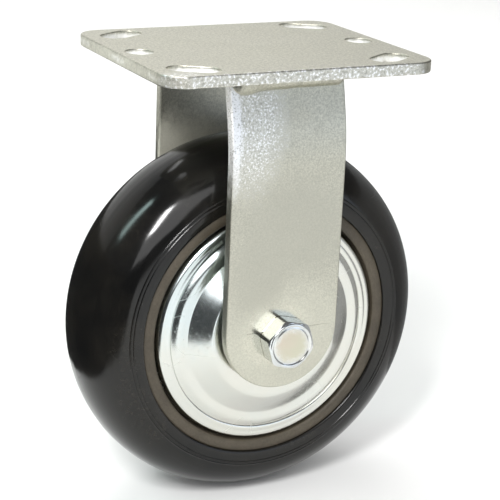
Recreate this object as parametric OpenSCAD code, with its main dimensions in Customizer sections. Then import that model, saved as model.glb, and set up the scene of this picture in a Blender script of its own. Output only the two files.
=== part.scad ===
// Fixed castor: a pressed top plate on two welded legs, and a round-tread wheel on ball bearings.
// Frame: origin at the centre of the plate's top face, +Z up, X the rolling direction, Y along the axle.
// The near leg and the bolt's head are at -Y, the nut is at +Y.

/* [Overall] */
// Height from the floor to the top face of the plate
overall_h = 188; // [180:1:210]
// Diameter of the wheel over its tread
wheel_d = 152.4; // [146:0.2:158]

/* [Top plate] */
// Length of the plate along the rolling direction
plate_l = 116; // [112:1:140]
// Width of the plate along the axle
plate_w = 96; // [92:1:130]
// Thickness of the plate
plate_t = 4.8; // [3:0.1:6.5]
// Radius of the plate's corners
plate_corner_r = 10; // [6:0.5:12]
// Width of the four slots and diameter of the two middle holes
slot_w = 11; // [7:0.1:12]
// Distance between the slots' outer ends along the rolling direction
slot_outer_x = 92; // [88:0.5:94]
// Distance between the slots' outer ends along the axle
slot_outer_y = 66.6; // [60:0.2:70]
// Distance between the slots' inner ends, the same both ways
slot_inner = 76.2; // [74:0.2:78]
// Distance between the two middle holes
middle_holes_x = 97.6; // [88:0.2:98]

/* [Legs] */
// Width of each leg
leg_w = 48.8; // [40:0.2:54]
// Thickness of each leg
leg_t = 4.8; // [3.5:0.1:6]
// Inside distance between the two legs at the axle
leg_gap = 64.5; // [62:0.5:76]
// Height of the centre of the leg's round end above the axle
leg_end_rise = 4; // [0:0.5:10]
// Angle by which the near leg's upper end leans in towards the wheel's middle
near_lean = 13; // [0:1:15]
// Angle by which the far leg's upper end leans in
far_lean = 0; // [0:1:15]
// Length of leg below the plate over which the lean is made
lean_h = 36; // [30:1:42]
// Bending radius of the lean at the leg's outer face
lean_r = 90; // [60:5:120]
// Size of the weld beads outside the legs, up the leg and out along the plate
outer_weld = 7; // [4:0.25:8]
// Size of the weld beads inside the legs
inner_weld = 4; // [2:0.25:5]
// Distance from each end of a weld bead to the leg's edge
weld_inset = 1.5; // [0.5:0.25:6]

/* [Axle] */
// Diameter of the axle bolt's shank
bolt_d = 12; // [10:0.1:13]
// Width across the flats of the bolt's head and of the nut
hex_af = 19; // [18:0.5:22]
// Height of the bolt's head
head_h = 8; // [6:0.25:10]
// Turn of the bolt's head about the axle from a corner straight up
head_turn = 16; // [0:1:59]
// Height of the steel body of the nut
nut_h = 8.6; // [8:0.1:12]
// Height of the collar with the nylon ring on the nut
nut_collar_h = 3.4; // [2.5:0.1:5]
// Length of bolt that stands out of the nut
bolt_end = 3; // [1:0.25:8]
// Outer diameter of the steel bushing round the bolt
bushing_d = 17; // [15:0.1:17]
// Outer diameter of the two collars between the bearings and the legs
end_collar_d = 23; // [21:0.25:24]

/* [Tyre] */
// Width of the tyre
tyre_w = 48.8; // [48:0.2:54]
// Roundness of the tread's section, 2 for an ellipse and more for squarer shoulders
tread_power = 2.2; // [2:0.05:3]
// Width of the brown core ring under the tyre
core_w = 47.3; // [46:0.1:48]
// Radius of the bore of the core ring, which the discs fill
core_inner_r = 49.9; // [48.6:0.1:51]
// Wall of the core ring, from its bore to the tyre
core_wall = 4.8; // [4:0.1:6]

/* [Hub] */
// Thickness of the two pressed hub discs
disc_t = 2; // [1.5:0.1:2.4]
// Width of the hub over the faces of its middle bosses
hub_w = 60.8; // [59.8:0.1:61.6]
// Wall of the tube between the discs, round the bearings
tube_wall = 4.2; // [3:0.1:5]

/* [Bearings] */
// Outer diameter of each ball bearing
bearing_d = 40; // [38:0.5:42]
// Width of each ball bearing
bearing_w = 12; // [10:0.5:14]
// Number of balls in each bearing
ball_count = 8; // [7:1:9]
// Diameter of the balls
ball_d = 6.7; // [5.6:0.1:7]

/* [Hidden] */

// Fineness of the round surfaces
$fn = 96;
// Overlap of a cutting tool past the face that it cuts
cut = 1;

// Radius of the wheel over its tread
wheel_r = wheel_d / 2;
// Height of the axle below the plate's top face
axle_z = -(overall_h - wheel_r);
// Outer faces of the legs at the axle
leg_face = leg_gap / 2 + leg_t;
// Running clearance between the bolt, the bushing and what turns or slides on them
shaft_gap = 0.05;
// Clearance of the bolt in the legs' holes
leg_hole_gap = 0.2;

// Outer diameter of the tube between the discs
tube_d = bearing_d + 2 * tube_wall;
// Gap between the tube and the wall of the boss that is pressed into each disc
boss_gap = 1;
// Outer radius of the discs' middle boss
boss_r = tube_d / 2 + boss_gap + disc_t;

// Radius of the flat end of the bolt's head and of the nut, inside their chamfer
hex_end_r = 0.46 * hex_af;
// Length of the chamfer at the bolt's end
bolt_chamfer = 1;
// Wall and chamfer of the nut's collar round the nylon ring
collar_wall = 0.9;
// Thickness of the nylon ring, and its depth below the end of the nut
nylon_t = 1.6;
nylon_depth = 0.6;

// Working gap between the balls and the races, and between the cage and the races
ball_gap = 0.02;
// Pitch radius of the balls
ball_pitch_r = (bushing_d + bearing_d) / 4;
// Radius of the shoulder on each race, measured from the pitch circle
race_shoulder = 2.6;
// Distance of the bearings' outer faces from the middle of the wheel
bearing_face = hub_w / 2 - disc_t;
// Distance of the bearings' middle from the middle of the wheel
bearing_mid = bearing_face - bearing_w / 2;
// Thickness of the bearings' shields
shield_t = 0.4;
// Depth of the shields below the bearings' faces
shield_depth = 0.5;
// Running clearance between each shield and the inner race
shield_gap = 0.3;
// Width of the cage
cage_w = 9.4;
// Clearance round each ball in its pocket
pocket_gap = 0.15;
// Thickness of the cage from its inner to its outer face
cage_t = 2.2;

// Running clearance at each end of the bearings' inner races
end_play = 0.05;
// Height of the shoulder inside the tube that the bearings seat on
tube_step = 2;
// Chamfer outside each end of the tube, clear of the rounded corner inside the boss
tube_chamfer = 1.2;

// Depth of the tyre's face beside the core ring below the tyre's full width
tyre_face_depth = 0.4;
// Distance of that face from the middle of the wheel
tyre_face = tyre_w / 2 - tyre_face_depth;
// Radius of the core ring where the tyre starts
core_outer_r = core_inner_r + core_wall;
// Height of the tyre's straight foot outside the core ring
tyre_foot = 2.3;
// Radius at which the tread's round section starts
tread_base_r = core_outer_r + tyre_foot;
// Heights over that radius of the two thin raised lines on each side of the tyre
mould_line_rise = [2.2, 3.6];
// Radius of the lines' round section
mould_line_size = 0.35;

// Turns a solid made along +Z so that it lies along the axle, seen from the near side
module along_axle() {
    translate([0, 0, axle_z])
        rotate([90, 0, 0])
            children();
}

// The same on the far side
module mirrored_along_axle() {
    mirror([0, 1, 0])
        along_axle()
            children();
}

// A ring between two radii, from the height low to the height high
module ring(inner_r, outer_r, low, high) {
    translate([0, 0, low])
        difference() {
            cylinder(r = outer_r, h = high - low);
            translate([0, 0, -cut])
                cylinder(r = inner_r, h = high - low + 2 * cut);
        }
}

// A hexagon bar whose corners are cut by a 30 degree chamfer at its top
module hex_bar(height, chamfer_r) {
    corner_r = hex_af / sqrt(3);
    drop = (corner_r - chamfer_r) * tan(30);
    intersection() {
        cylinder(r = corner_r, h = height, $fn = 6);
        union() {
            cylinder(r = corner_r + cut, h = height - drop);
            translate([0, 0, height - drop])
                cylinder(r1 = corner_r, r2 = chamfer_r, h = drop);
        }
    }
}

// Top plate

module rounded_plate() {
    x = plate_l / 2 - plate_corner_r;
    y = plate_w / 2 - plate_corner_r;
    union() {
        for (sx = [-1, 1])
            for (sy = [-1, 1])
                translate([sx * x, sy * y])
                    circle(r = plate_corner_r);
        square([2 * x, plate_w], center = true);
        square([plate_l, 2 * y], center = true);
    }
}

// One slot, from its outer end to its inner end
module corner_slot() {
    outer = [slot_outer_x / 2, slot_outer_y / 2];
    inner = [slot_inner / 2, slot_inner / 2];
    run = outer - inner;
    turn = atan2(run[1], run[0]);
    translate(inner)
        rotate(turn) {
            circle(d = slot_w);
            translate([norm(run), 0])
                circle(d = slot_w);
            translate([0, -slot_w / 2])
                square([norm(run), slot_w]);
        }
}

module top_plate() {
    color("lightgray")
        translate([0, 0, -plate_t])
            linear_extrude(plate_t)
                difference() {
                    rounded_plate();
                    for (sx = [0, 1])
                        for (sy = [0, 1])
                            mirror([sx, 0])
                                mirror([0, sy])
                                    corner_slot();
                    for (sx = [-1, 1])
                        translate([sx * middle_holes_x / 2, 0])
                            circle(d = slot_w);
                }
}

// Legs

// Points of one face of a leg, from its lowest point up, at an offset inside the outer face.
// y counts from the middle of the wheel outwards and z from the axle.
function leg_side(lean, inside) =
    let(
        top = -plate_t - axle_z,
        bend_z = top - lean_h,
        face = leg_face - inside,
        r = lean_r - inside,
        steps = 12,
        end_z = bend_z + r * sin(lean),
        end_y = face - r * (1 - cos(lean)),
        low = [face, leg_end_rise - leg_w / 2 - cut],
        arc = [for (i = [0:steps]) [face - r * (1 - cos(lean * i / steps)), bend_z + r * sin(lean * i / steps)]],
        high = [end_y - (top - end_z) * tan(lean), top]
    )
    lean == 0 ? [low, [face, top]] : concat([low], arc, [high]);

function reversed(list) = [for (i = [len(list) - 1:-1:0]) list[i]];

// The leg before its outline is cut, bent sheet as wide as the leg
module leg_sheet(lean) {
    rotate([90, 0, 90])
        translate([0, 0, -leg_w / 2])
            linear_extrude(leg_w)
                polygon(concat(leg_side(lean, 0), reversed(leg_side(lean, leg_t))));
}

// The outline of the leg, with its round end and the hole for the bolt
module leg_outline() {
    difference() {
        union() {
            translate([0, leg_end_rise])
                circle(d = leg_w);
            translate([-leg_w / 2, leg_end_rise])
                square([leg_w, -plate_t - axle_z - leg_end_rise]);
        }
        circle(d = bolt_d + 2 * leg_hole_gap);
    }
}

// A leg on the +Y side
module leg(lean) {
    translate([0, 0, axle_z])
        intersection() {
            leg_sheet(lean);
            rotate([90, 0, 0])
                translate([0, 0, -leg_face - cut])
                    linear_extrude(leg_face + cut)
                        leg_outline();
        }
}

module near_leg() {
    color("silver")
        mirror([0, 1, 0])
            leg(near_lean);
}

module far_leg() {
    color("silver")
        leg(far_lean);
}

// A straight bead of weld that fills an angle about the Z axis, with a round end past each end of its length
module bead(size, length, angle) {
    rotate_extrude(angle = angle)
        intersection() {
            union() {
                for (s = [-1, 1])
                    translate([0, s * length / 2])
                        circle(r = size);
                square([2 * size, length], center = true);
            }
            translate([0, -length])
                square([2 * size, 2 * length]);
        }
}

// The bead in the corner of plate and leg, outside the leg or inside it, on the +Y side
module weld(lean, inside) {
    face = leg_side(lean, inside ? leg_t : 0);
    size = inside ? inner_weld : outer_weld;
    length = leg_w - 2 * weld_inset - 2 * size;
    start = inside ? -90 : lean;
    end = inside ? lean : 90;
    translate([0, face[len(face) - 1][0], -plate_t])
        rotate([0, 90, 0])
            rotate(start)
                bead(size, length, end - start);
}

module near_outer_weld() {
    color("darkgray")
        mirror([0, 1, 0])
            weld(near_lean, false);
}

module near_inner_weld() {
    color("darkgray")
        mirror([0, 1, 0])
            weld(near_lean, true);
}

module far_outer_weld() {
    color("darkgray")
        weld(far_lean, false);
}

module far_inner_weld() {
    color("darkgray")
        weld(far_lean, true);
}

// Axle

module axle_bolt() {
    tip = leg_face + nut_h + nut_collar_h + bolt_end;
    color("gainsboro")
        along_axle() {
            translate([0, 0, leg_face])
                rotate(90 + head_turn)
                    hex_bar(head_h, hex_end_r);
            translate([0, 0, -tip + bolt_chamfer])
                cylinder(d = bolt_d, h = tip - bolt_chamfer + leg_face);
            translate([0, 0, -tip])
                cylinder(d1 = bolt_d - 2 * bolt_chamfer, d2 = bolt_d, h = bolt_chamfer);
        }
}

module lock_nut() {
    color("gainsboro")
        mirrored_along_axle()
            translate([0, 0, leg_face])
                difference() {
                    union() {
                        hex_bar(nut_h, hex_end_r);
                        translate([0, 0, nut_h])
                            cylinder(r = hex_end_r, h = nut_collar_h - collar_wall);
                        translate([0, 0, nut_h + nut_collar_h - collar_wall])
                            cylinder(r1 = hex_end_r, r2 = hex_end_r - collar_wall, h = collar_wall);
                    }
                    translate([0, 0, -cut])
                        cylinder(d = bolt_d, h = nut_h + 2 * cut);
                    translate([0, 0, nut_h])
                        cylinder(r = bolt_d / 2 + nylon_t, h = nut_collar_h + cut);
                }
}

module nut_nylon_ring() {
    low = leg_face + nut_h;
    color("white")
        mirrored_along_axle()
            ring(bolt_d / 2, bolt_d / 2 + nylon_t, low, low + nut_collar_h - nylon_depth);
}

module axle_bushing() {
    color("dimgray")
        along_axle()
            ring(bolt_d / 2 + shaft_gap, bushing_d / 2, -leg_gap / 2, leg_gap / 2);
}

// Collar between a bearing's inner race and a leg
module end_collar() {
    color("dimgray")
        ring(bushing_d / 2 + shaft_gap, end_collar_d / 2, bearing_face + end_play, leg_gap / 2);
}

module near_end_collar() {
    along_axle()
        end_collar();
}

module far_end_collar() {
    mirrored_along_axle()
        end_collar();
}

// Bearings

// The round groove that the balls run in
module ball_groove() {
    rotate_extrude()
        translate([ball_pitch_r, 0])
            circle(r = ball_d / 2 + ball_gap);
}

module inner_race() {
    color("slategray")
        translate([0, 0, bearing_mid])
            difference() {
                ring(bushing_d / 2 + shaft_gap, ball_pitch_r - race_shoulder, -bearing_w / 2, bearing_w / 2);
                ball_groove();
            }
}

module outer_race() {
    color("slategray")
        translate([0, 0, bearing_mid])
            difference() {
                ring(ball_pitch_r + race_shoulder, bearing_d / 2, -bearing_w / 2, bearing_w / 2);
                ball_groove();
            }
}

module balls() {
    color("lightsteelblue")
        translate([0, 0, bearing_mid])
            for (i = [0:ball_count - 1])
                rotate(360 / ball_count * i)
                    translate([ball_pitch_r, 0, 0])
                        sphere(d = ball_d, $fn = 48);
}

module cage() {
    color("goldenrod")
        translate([0, 0, bearing_mid])
            difference() {
                ring(ball_pitch_r - cage_t / 2, ball_pitch_r + cage_t / 2, -cage_w / 2, cage_w / 2);
                for (i = [0:ball_count - 1])
                    rotate(360 / ball_count * i)
                        translate([ball_pitch_r, 0, 0])
                            rotate([0, 90, 0])
                                cylinder(d = ball_d + 2 * pocket_gap, h = 2 * cage_t, center = true, $fn = 48);
            }
}

// Shield that closes a bearing, held in the outer race
module shield(low) {
    color("gray")
        ring(
            ball_pitch_r - race_shoulder + shield_gap,
            ball_pitch_r + race_shoulder,
            bearing_mid + low,
            bearing_mid + low + shield_t
        );
}

outside_shield_low = bearing_w / 2 - shield_depth - shield_t;
inside_shield_low = -bearing_w / 2 + shield_depth;

module near_inner_race() {
    along_axle()
        inner_race();
}

module far_inner_race() {
    mirrored_along_axle()
        inner_race();
}

module near_outer_race() {
    along_axle()
        outer_race();
}

module far_outer_race() {
    mirrored_along_axle()
        outer_race();
}

module near_balls() {
    along_axle()
        balls();
}

module far_balls() {
    mirrored_along_axle()
        balls();
}

module near_cage() {
    along_axle()
        cage();
}

module far_cage() {
    mirrored_along_axle()
        cage();
}

module near_shield() {
    along_axle()
        shield(outside_shield_low);
}

module far_shield() {
    mirrored_along_axle()
        shield(outside_shield_low);
}

module near_inside_shield() {
    along_axle()
        shield(inside_shield_low);
}

module far_inside_shield() {
    mirrored_along_axle()
        shield(inside_shield_low);
}

// Hub

// Solid round bar as long as the tube, chamfered at both ends
module chamfered_bar() {
    end_r = tube_d / 2 - tube_chamfer;
    body = bearing_face - tube_chamfer;
    cylinder(r = tube_d / 2, h = 2 * body, center = true);
    for (s = [0, 1])
        mirror([0, 0, s])
            translate([0, 0, body])
                cylinder(r1 = tube_d / 2, r2 = end_r, h = tube_chamfer);
}

module hub_tube() {
    seat = bearing_face - bearing_w;
    color("darkgray")
        along_axle()
            difference() {
                chamfered_bar();
                cylinder(d = bearing_d - 2 * tube_step, h = hub_w, center = true);
                for (s = [-1, 1])
                    mirror([0, 0, s < 0 ? 1 : 0])
                        translate([0, 0, seat])
                            cylinder(d = bearing_d, h = bearing_w + cut);
            }
}

// Moves each point of a line sideways, to its left for a positive distance
function beside(line, distance) = [
    for (i = [0:len(line) - 1])
        let(
            before = line[max(i - 1, 0)],
            after = line[min(i + 1, len(line) - 1)],
            run = (after - before) / norm(after - before)
        )
        line[i] + distance * [-run[1], run[0]]
];

// A smooth line through the knots of the pressed face, but for the first and the last, by a cubic between each two
function smooth(knots, steps) = concat(
    [
        for (i = [1:len(knots) - 3])
            for (k = [0:steps - 1])
                let(
                    t = k / steps,
                    a = knots[i - 1],
                    b = knots[i],
                    c = knots[i + 1],
                    d = knots[i + 2]
                )
                0.5 * (2 * b + t * (c - a) + t * t * (2 * a - 5 * b + 4 * c - d) + t * t * t * (3 * b - a - 3 * c + d))
    ],
    [knots[len(knots) - 2]]
);

// The pressed face from the rolled edge to the boss: flange, groove, step, flat ring and cone. Each point gives
// its share of the way in from the edge to the boss, and its share of the rise from the edge to the boss's top.
pressing = [
    [0, -0.6],
    [0, -0.24],
    [0.022, -0.07],
    [0.07, 0.05],
    [0.15, 0.06],
    [0.21, 0.09],
    [0.255, 0.04],
    [0.29, 0.08],
    [0.375, 0.23],
    [0.467, 0.237],
    [0.55, 0.237],
    [0.6, 0.31],
    [0.766, 0.645],
    [0.912, 0.93],
    [1, 0.99]
];

// The boss's flat top. Each point gives its distance in from the end of the cone, in thicknesses of the sheet.
boss_top = [0.6, 1.4, 2.5];

// The middle of the disc's sheet from the rolled edge to the flat top of the boss, as radius and distance
// from the wheel's middle
function face_knots() =
    let(
        rim = core_inner_r - disc_t / 2,
        edge = core_w / 2 - disc_t / 2,
        boss = boss_r - disc_t / 2,
        top = hub_w / 2 - disc_t / 2
    )
    concat(
        [for (p = pressing) [rim + p[0] * (boss - rim), edge + p[1] * (top - edge)]],
        [for (step = boss_top) [boss - step * disc_t, top]]
    );

module hub_disc() {
    rim = core_inner_r - disc_t / 2;
    knots = face_knots();
    face = smooth(knots, 4);
    middle = concat([[rim, 0], [rim, knots[0][1]]], face, [[bearing_d / 2 - tube_step, hub_w / 2 - disc_t / 2]]);
    color("whitesmoke")
        rotate_extrude()
            polygon(concat(beside(middle, -disc_t / 2), reversed(beside(middle, disc_t / 2))));
}

module near_hub_disc() {
    along_axle()
        hub_disc();
}

module far_hub_disc() {
    mirrored_along_axle()
        hub_disc();
}

// Tyre

module core_ring() {
    color("dimgray")
        along_axle()
            ring(core_inner_r, core_outer_r, -core_w / 2, core_w / 2);
}

// Points of the tread's round section from the far side over the crown to the near side
function tread() =
    let(
        h = wheel_r - tread_base_r,
        steps = 40,
        power = 2 / tread_power
    )
    [
        for (i = [0:steps])
            let(
                angle = 180 * i / steps,
                c = cos(angle),
                side = c < 0 ? -1 : 1
            )
            [tread_base_r + h * pow(sin(angle), power), side * tyre_w / 2 * pow(abs(c), power)]
    ];

// Distance of the tread's side from the middle of the wheel at a radius
function tread_side(r) =
    tyre_w / 2 * pow(1 - pow((r - tread_base_r) / (wheel_r - tread_base_r), tread_power), 1 / tread_power);

module tyre() {
    color([0.08, 0.08, 0.08])
        along_axle() {
            rotate_extrude()
                polygon(concat([[core_outer_r, tyre_face]], tread(), [[core_outer_r, -tyre_face]]));
            for (rise = mould_line_rise)
                for (side = [-1, 1])
                    rotate_extrude()
                        translate([tread_base_r + rise, side * tread_side(tread_base_r + rise)])
                            circle(r = mould_line_size, $fn = 16);
        }
}

top_plate();
near_leg();
far_leg();
near_outer_weld();
near_inner_weld();
far_outer_weld();
far_inner_weld();
axle_bolt();
lock_nut();
nut_nylon_ring();
axle_bushing();
near_end_collar();
far_end_collar();
near_inner_race();
far_inner_race();
near_outer_race();
far_outer_race();
near_balls();
far_balls();
near_cage();
far_cage();
near_shield();
far_shield();
near_inside_shield();
far_inside_shield();
hub_tube();
near_hub_disc();
far_hub_disc();
core_ring();
tyre();
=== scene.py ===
"""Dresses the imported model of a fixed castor: sheet metal, welds, fastener, wheel and finishes.

It also sets the camera, the floor and the lights.
"""

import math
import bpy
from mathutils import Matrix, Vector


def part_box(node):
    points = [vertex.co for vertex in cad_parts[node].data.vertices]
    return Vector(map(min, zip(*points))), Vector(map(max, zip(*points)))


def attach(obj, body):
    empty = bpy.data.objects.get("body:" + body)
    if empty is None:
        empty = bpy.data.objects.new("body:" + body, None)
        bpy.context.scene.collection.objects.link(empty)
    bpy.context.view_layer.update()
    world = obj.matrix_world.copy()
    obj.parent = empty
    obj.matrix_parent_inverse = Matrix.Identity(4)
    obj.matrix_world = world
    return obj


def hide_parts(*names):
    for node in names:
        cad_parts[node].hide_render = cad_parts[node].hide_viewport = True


bl_info = {
    "name": "Fixed castor",
    "version": (1, 0, 0),
    "blender": (4, 5, 0),
    "location": "3D View > Sidebar > Castor",
    "description": "Builds the visible pieces and finishes of a fixed castor round its packed model",
    "category": "Object",
}

import bmesh
import bpy
import numpy as np
from bpy.props import FloatProperty, FloatVectorProperty, IntProperty, PointerProperty
from mathutils import Matrix, Vector, noise

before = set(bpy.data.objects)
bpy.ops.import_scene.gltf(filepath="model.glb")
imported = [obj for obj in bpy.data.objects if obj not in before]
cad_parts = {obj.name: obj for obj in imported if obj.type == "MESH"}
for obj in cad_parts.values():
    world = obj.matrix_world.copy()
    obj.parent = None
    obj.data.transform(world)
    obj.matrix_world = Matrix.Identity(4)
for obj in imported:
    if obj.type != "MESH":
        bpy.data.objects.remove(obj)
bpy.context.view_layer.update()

TURN = 2 * math.pi
NEAR, FAR = -1, 1
WHITE = (1.0, 1.0, 1.0)

PLATE_LOW, PLATE_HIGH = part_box("top_plate")
TYRE_LOW, TYRE_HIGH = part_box("tyre")
BOLT_LOW, BOLT_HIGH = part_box("axle_bolt")
_, LEG_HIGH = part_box("far_leg")
_, CORE_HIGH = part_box("core_ring")
_, NUT_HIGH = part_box("lock_nut")
_, DISC_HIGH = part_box("far_hub_disc")
AXLE_Z = (TYRE_LOW.z + TYRE_HIGH.z) / 2
PLATE_UNDERSIDE = PLATE_LOW.z
LEG_FACE = LEG_HIGH.y
# Height of the legs' top over the axle
LEG_TOP = PLATE_UNDERSIDE - AXLE_Z
# Steps along a sheet's rounded edge, a plate's corner, a slot's end and a leg's round end
EDGE_STEPS, CORNER_STEPS, SLOT_STEPS, END_STEPS = 4, 12, 20, 48
# Steps round a hole and a fastener
HOLE_STEPS, HEX_STEPS = 48, 144


# Sizes and colours


def length(name, description, metres):
    return FloatProperty(name=name, description=description, default=metres, unit="LENGTH", precision=5)


def angle(name, description, degrees):
    return FloatProperty(name=name, description=description, default=math.radians(degrees), subtype="ANGLE")


def number(name, description, default, low, high):
    return FloatProperty(name=name, description=description, default=default, min=low, max=high)


def power(name, description, watts):
    return FloatProperty(name=name, description=description, default=watts, min=0, unit="POWER")


def colour(name, description, rgb):
    return FloatVectorProperty(
        name=name, description=description, default=rgb, subtype="COLOR", size=3, min=0, max=1
    )


class CastorSheetSizes(bpy.types.PropertyGroup):
    """Sizes of the top plate, the legs and their welds"""

    plate_corner: length("Plate corner", "Radius of the plate's four corners", 0.010)
    slot_width: length("Slot width", "Width of the bolt slots and diameter of the two middle holes", 0.011)
    slot_outer_x: length("Slot ends along", "Spacing of the slots' outer ends along the wheel", 0.092)
    slot_outer_y: length("Slot ends across", "Spacing of the slots' outer ends across the wheel", 0.0666)
    slot_inner: length("Inner slot ends", "Spacing of the slots' inner ends both ways", 0.0762)
    middle_holes: length("Middle hole spacing", "Spacing of the two round holes", 0.0976)
    edge_round: length("Edge rounding", "Radius of the sheared edges of plate and legs", 0.0007)
    leg_thickness: length("Leg thickness", "Thickness of the legs' sheet", 0.0043)
    leg_left: length("Left overhang", "Extra reach of the legs on their left", 0.0010)
    leg_end_rise: length("Round end rise", "Height of the round end's centre over the axle", 0.004)
    leg_hole: length("Leg hole", "Radius of the bolt hole in each leg", 0.0062)
    lean: angle("Lean", "Angle at which the near leg's top leans in", 13)
    lean_height: length("Lean height", "Height under the plate at which the lean starts", 0.036)
    lean_radius: length("Bend radius", "Radius of the near leg's bend at its outer face", 0.090)
    outer_weld: length("Outer weld", "Size of the weld beads outside the legs", 0.0062)
    inner_weld: length("Inner weld", "Size of the weld beads inside the legs", 0.0036)
    weld_inset: length("Weld inset", "Distance of the beads' ends from the legs' sides", 0.0003)
    weld_ripple: length("Weld ripple", "Spacing of the ripples along the beads", 0.0019)
    weld_drop: length("Weld drop", "Extra size of the drop near one end of each outer bead", 0.0013)
    weld_taper: length("Weld taper", "Size that an outer bead loses from one end to the other", 0.0006)


class CastorFastenerSizes(bpy.types.PropertyGroup):
    """Sizes of the bolt and the nut"""

    across_flats: length("Across flats", "Width of head and nut over their flats", 0.019)
    head_rim: number("Head rim", "Radius of the head's flat end as a share of its width", 0.488, 0.4, 0.5)
    nut_rim: number("Nut rim", "Radius of the nut's flat end as a share of its width", 0.46, 0.4, 0.5)
    head_turn: angle("Head turn", "Turn of the head from a corner straight up", 16)
    bolt_radius: length("Bolt radius", "Radius of the bolt's shank", 0.006)
    thread_pitch: length("Thread pitch", "Advance of the thread in one turn", 0.00175)
    thread_depth: length("Thread depth", "Depth of the thread's groove", 0.0008)
    collar: length("Collar", "Height of the nut's collar round its nylon ring", 0.0034)
    nylon: length("Nylon", "Thickness of the nylon ring", 0.0016)


class CastorWheelSizes(bpy.types.PropertyGroup):
    """Sizes of the tyre, its core and the pressed discs"""

    sheet: length("Disc sheet", "Thickness of the pressed discs", 0.002)
    bearing_seat: length("Bearing seat", "Radius of the bore in each disc", 0.018)
    core_bore: length("Core bore", "Radius of the core's bore", 0.0499)
    boss: length("Boss radius", "Radius of the discs' middle boss", 0.0272)
    foot: length("Tyre foot", "Height of the tyre's straight foot outside the core", 0.0023)
    tread_power: number("Tread roundness", "2 is an ellipse and more has squarer shoulders", 2.2, 2, 3)
    line_height: length("Moulding line", "Height of the thin raised lines on the tyre", 0.00035)
    segments: IntProperty(name="Segments", description="Segments round the wheel", default=224, min=48, max=512)


class CastorFinishes(bpy.types.PropertyGroup):
    """Colours of the surfaces"""

    zinc: colour("Zinc", "Satin zinc of plate and legs", (0.675, 0.66, 0.56))
    zinc_shade: colour("Zinc shade", "Darker grains and stains in the satin zinc", (0.46, 0.45, 0.385))
    bright_zinc: colour("Bright zinc", "Bright plating of bolt, nut and discs", (0.86, 0.87, 0.865))
    zinc_tint: colour("Plating tint", "Cool tint in the bright plating", (0.62, 0.70, 0.72))
    head_end: colour("Head end", "Satin end of the bolt's head", (0.585, 0.565, 0.435))
    head_stain: colour("Head stain", "Warmer stains on the end of the bolt's head", (0.62, 0.545, 0.44))
    steel: colour("Steel", "Ground steel of the bearings", (0.62, 0.62, 0.63))
    brass: colour("Brass", "Pressed brass of the ball cages", (0.72, 0.52, 0.22))
    nylon: colour("Nylon", "Ring that locks the nut", (0.82, 0.84, 0.82))
    core: colour("Core", "Moulded core under the tyre", (0.074, 0.060, 0.040))
    core_shade: colour("Core shade", "Darker patches of the core", (0.050, 0.040, 0.026))
    tyre: colour("Tyre", "Moulded black tyre", (0.004, 0.004, 0.004))
    tyre_dust: colour("Tyre dust", "Thin film of dust on the tyre", (0.024, 0.021, 0.016))


class CastorStageSettings(bpy.types.PropertyGroup):
    """Camera, floor and lights"""

    azimuth: angle("Azimuth", "Camera's turn about the upright from the near side", -27.29)
    elevation: angle("Elevation", "Camera's angle over the horizon", 18.22)
    roll: angle("Roll", "Camera's turn about its own view", 2.47)
    distance: length("Distance", "Camera's distance from the wheel's middle", 0.6412)
    aside: length("Aside", "Camera's shift to its right", 0.00343)
    above: length("Above", "Camera's shift upwards", 0.02461)
    lens: number("Focal length", "Camera's focal length in millimetres", 109.5, 20, 300)
    floor: colour("Floor", "Plain pale floor and backdrop", (0.87, 0.87, 0.862))
    ambient: number("Ambient", "Strength of the dim surroundings in reflections", 0.14, 0, 4)
    even: number("Even light", "Strength of the light on matt surfaces", 0.48, 0, 4)
    key: power("Key light", "Power of the softbox beside the camera", 10.0)
    umbrella: power("Umbrella", "Power of the wide light over the camera", 6.9)
    overhead: power("Overhead", "Power of the wide softbox above", 3.6)
    side: power("Side strip", "Power of the strip light on the left", 1.5)
    backdrop: power("Backdrop", "Power of the light on the backdrop", 9.0)
    fill: power("Fill", "Power of the wide light on the right", 2.1)


# Mesh helpers


def linked(name, data):
    """A new object in the scene."""
    item = bpy.data.objects.new(name, data)
    bpy.context.scene.collection.objects.link(item)
    return item


def material(slot):
    """The finish made for one of the record's material slots."""
    return bpy.data.materials[slot + "_finish"]


def finished_piece(mesh, body, node, slot):
    """Shows a mesh, under its own name, as the piece that stands for a node of the frame."""
    piece = linked(mesh.name, mesh)
    mesh.materials.append(material(slot))
    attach(piece, body)
    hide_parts(node)


def mesh_from(name, points, faces, sharp=34):
    """A smooth closed mesh whose faces look outwards, with sharp edges over an angle in degrees."""
    mesh = bpy.data.meshes.new(name)
    mesh.from_pydata([tuple(p) for p in points], [], faces)
    work = bmesh.new()
    work.from_mesh(mesh)
    bmesh.ops.recalc_face_normals(work, faces=work.faces)
    work.to_mesh(mesh)
    work.free()
    mesh.polygons.foreach_set("use_smooth", [True] * len(mesh.polygons))
    mesh.set_sharp_from_angle(angle=math.radians(sharp))
    return mesh


def smooth_line(knots, steps):
    """Points of a smooth line through all knots but the first and the last."""
    k = np.asarray(knots, float)
    line = []
    for a, b, c, d in zip(k, k[1:], k[2:], k[3:]):
        for t in np.arange(steps) / steps:
            square, cube = 2 * a - 5 * b + 4 * c - d, 3 * b - a - 3 * c + d
            line.append(0.5 * (2 * b + t * (c - a) + t**2 * square + t**3 * cube))
    return np.array(line + [k[-2]])


def beside(line, distance):
    """The line moved sideways, to its left for a positive distance."""
    run = np.gradient(line, axis=0)
    run /= np.linalg.norm(run, axis=1)[:, None]
    return line + distance * np.column_stack([-run[:, 1], run[:, 0]])


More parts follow.
